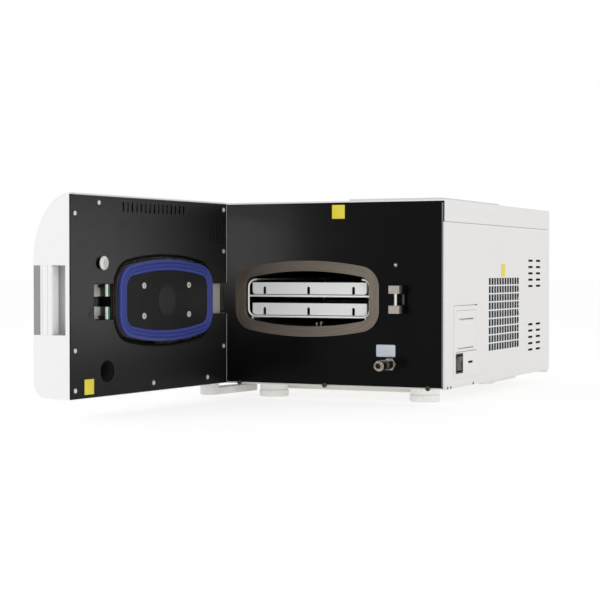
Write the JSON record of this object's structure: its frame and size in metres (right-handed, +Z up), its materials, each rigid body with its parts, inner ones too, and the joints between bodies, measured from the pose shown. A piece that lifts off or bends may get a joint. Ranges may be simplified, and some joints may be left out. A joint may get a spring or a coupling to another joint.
{
  "type": "benchtop autoclave",
  "caption": "Benchtop steam autoclave with a side-hinged door, a sealed lid, an oval chamber with rack and trays, water tanks, printer, power switch and drain coupling.",
  "frame": {"origin": "on the bench, under the middle of the machine's box with its door open", "axes": "+Z up, +Y towards the cabinet's rear, +X to the right seen from the front"},
  "size_m": [0.5336, 1.121, 0.3605],
  "materials": {
    "white_coat": "satin powder coat",
    "warm_white": "moulded, satin",
    "pan_coat": "satin powder coat",
    "gloss_black": "gloss enamel",
    "satin_black": "satin enamel",
    "flange_metal": "brushed",
    "chamber_steel": "satin",
    "tray_steel": "satin",
    "bright_wire": "electropolished",
    "keeper_steel": "cast, satin",
    "nickel": "nickel plate",
    "seal_blue": "satin silicone",
    "lid_black": "fine satin",
    "screw_steel": "satin",
    "dark_screw": "satin",
    "insulation": "matte",
    "zinc_sheet": "satin",
    "tank_plastic": "translucent white",
    "fin_aluminium": "fine fins",
    "fan_black": "moulded",
    "boiler_steel": "satin",
    "pump_grey": "painted casting",
    "brass_fitting": "turned",
    "pipe_copper": "drawn tube",
    "board_green": "solder mask",
    "housing_plastic": "moulded, fine grain",
    "switch_black": "moulded, satin",
    "paper_white": "matte paper",
    "display_black": "gloss",
    "key_grey": "satin"
  },
  "bodies": {
    "cabinet": {"base_pan": "pan_coat", "front_panel": "gloss_black", "side_panel_right": "white_coat", "side_panel_left": "white_coat", "rear_panel": "pan_coat", "power_inlet": "switch_black", "top_cover": "white_coat", "feet": "warm_white", "chassis_screws": "dark_screw", "chamber_flange": "flange_metal", "chamber_vessel": "chamber_steel", "chamber_jacket": "insulation", "chamber_stand": "zinc_sheet", "chamber_fittings": "chamber_steel", "door_keeper": "keeper_steel", "keeper_pin": "bright_wire", "coupling_body": "nickel", "coupling_nut": "nickel", "hinge_bracket": "chamber_steel", "hinge_ear": "white_coat", "hinge_pins": "chamber_steel", "equipment_deck": "zinc_sheet", "clean_tank": "tank_plastic", "waste_tank": "tank_plastic", "condenser": "fin_aluminium", "fan_shroud": "fan_black", "steam_generator": "boiler_steel", "vacuum_pump": "pump_grey", "water_pump": "pump_grey", "main_board": "board_green", "safety_valve": "brass_fitting", "pipework": "pipe_copper", "printer_housing": "housing_plastic", "switch_frame": "switch_black"},
    "door": {"door_shell": "warm_white", "door_panel": "satin_black", "door_beam": "chamber_steel", "lid_plate": "flange_metal", "lid_seal": "seal_blue", "lid_cover": "lid_black", "hook_pin": "chamber_steel", "lock_motor": "lid_black", "door_board": "board_green", "display_window": "display_black", "handle_grip": "warm_white", "handle_strip": "key_grey", "door_stud": "bright_wire", "door_screws": "screw_steel"},
    "hook": {"lock_hook": "keeper_steel"},
    "start_button": {"start_key": "key_grey"},
    "stop_button": {"stop_key": "key_grey"},
    "rack": {"wire_rack": "bright_wire"},
    "upper_tray": {"tray_upper": "tray_steel"},
    "lower_tray": {"tray_lower": "tray_steel"},
    "tank_cover": {"tank_lid": "white_coat"},
    "paper_door": {"printer_cover": "housing_plastic"},
    "rocker": {"power_rocker": "switch_black"},
    "sleeve": {"coupling_sleeve": "nickel"},
    "fan": {"fan_rotor": "fan_black"},
    "paper": {"paper_roll": "paper_white"}
  },
  "joints": [
    {"name": "door_hinge", "type": "hinge", "parent": "cabinet", "child": "door", "pos_m": [-0.1755, -0.121, 0.1815], "axis": [0, 0, -1], "range_deg": [-95, 12]},
    {"name": "hook_swing", "type": "hinge", "parent": "door", "child": "hook", "pos_m": [-0.2134, -0.45095, 0.1815], "axis": [0, 0, 1], "range_deg": [0, 50]},
    {"name": "start_press", "type": "slide", "parent": "door", "child": "start_button", "axis": [0.9962, -0.0872, 0], "range_m": [0, 0.0015], "stiffness_N_per_m": 400},
    {"name": "stop_press", "type": "slide", "parent": "door", "child": "stop_button", "axis": [0.9962, -0.0872, 0], "range_m": [0, 0.0015], "stiffness_N_per_m": 400},
    {"name": "rack_slide", "type": "slide", "parent": "cabinet", "child": "rack", "axis": [0, -1, 0], "range_m": [0, 0.33]},
    {"name": "upper_tray_slide", "type": "slide", "parent": "rack", "child": "upper_tray", "axis": [0, -1, 0], "range_m": [0, 0.3]},
    {"name": "lower_tray_slide", "type": "slide", "parent": "rack", "child": "lower_tray", "axis": [0, -1, 0], "range_m": [0, 0.3]},
    {"name": "tank_cover_hinge", "type": "hinge", "parent": "cabinet", "child": "tank_cover", "pos_m": [0.167, 0.2595, 0.3583], "axis": [-1, 0, 0], "range_deg": [0, 100]},
    {"name": "paper_door_hinge", "type": "hinge", "parent": "cabinet", "child": "paper_door", "pos_m": [0.265, 0.0267, 0.0904], "axis": [0, 1, 0], "range_deg": [0, 80]},
    {"name": "rocker_tip", "type": "hinge", "parent": "cabinet", "child": "rocker", "pos_m": [0.2585, -0.01065, 0.06765], "axis": [0, -1, 0], "range_deg": [0, 16]},
    {"name": "sleeve_slide", "type": "slide", "parent": "cabinet", "child": "sleeve", "axis": [0, 1, 0], "range_m": [0, 0.004], "stiffness_N_per_m": 1500},
    {"name": "fan_spin", "type": "hinge", "parent": "cabinet", "child": "fan", "pos_m": [0.2295, 0.2525, 0.15], "axis": [1, 0, 0], "continuous": true},
    {"name": "paper_spin", "type": "hinge", "parent": "cabinet", "child": "paper", "pos_m": [0.2315, 0.0267, 0.125], "axis": [0, 1, 0], "continuous": true}
  ]
}
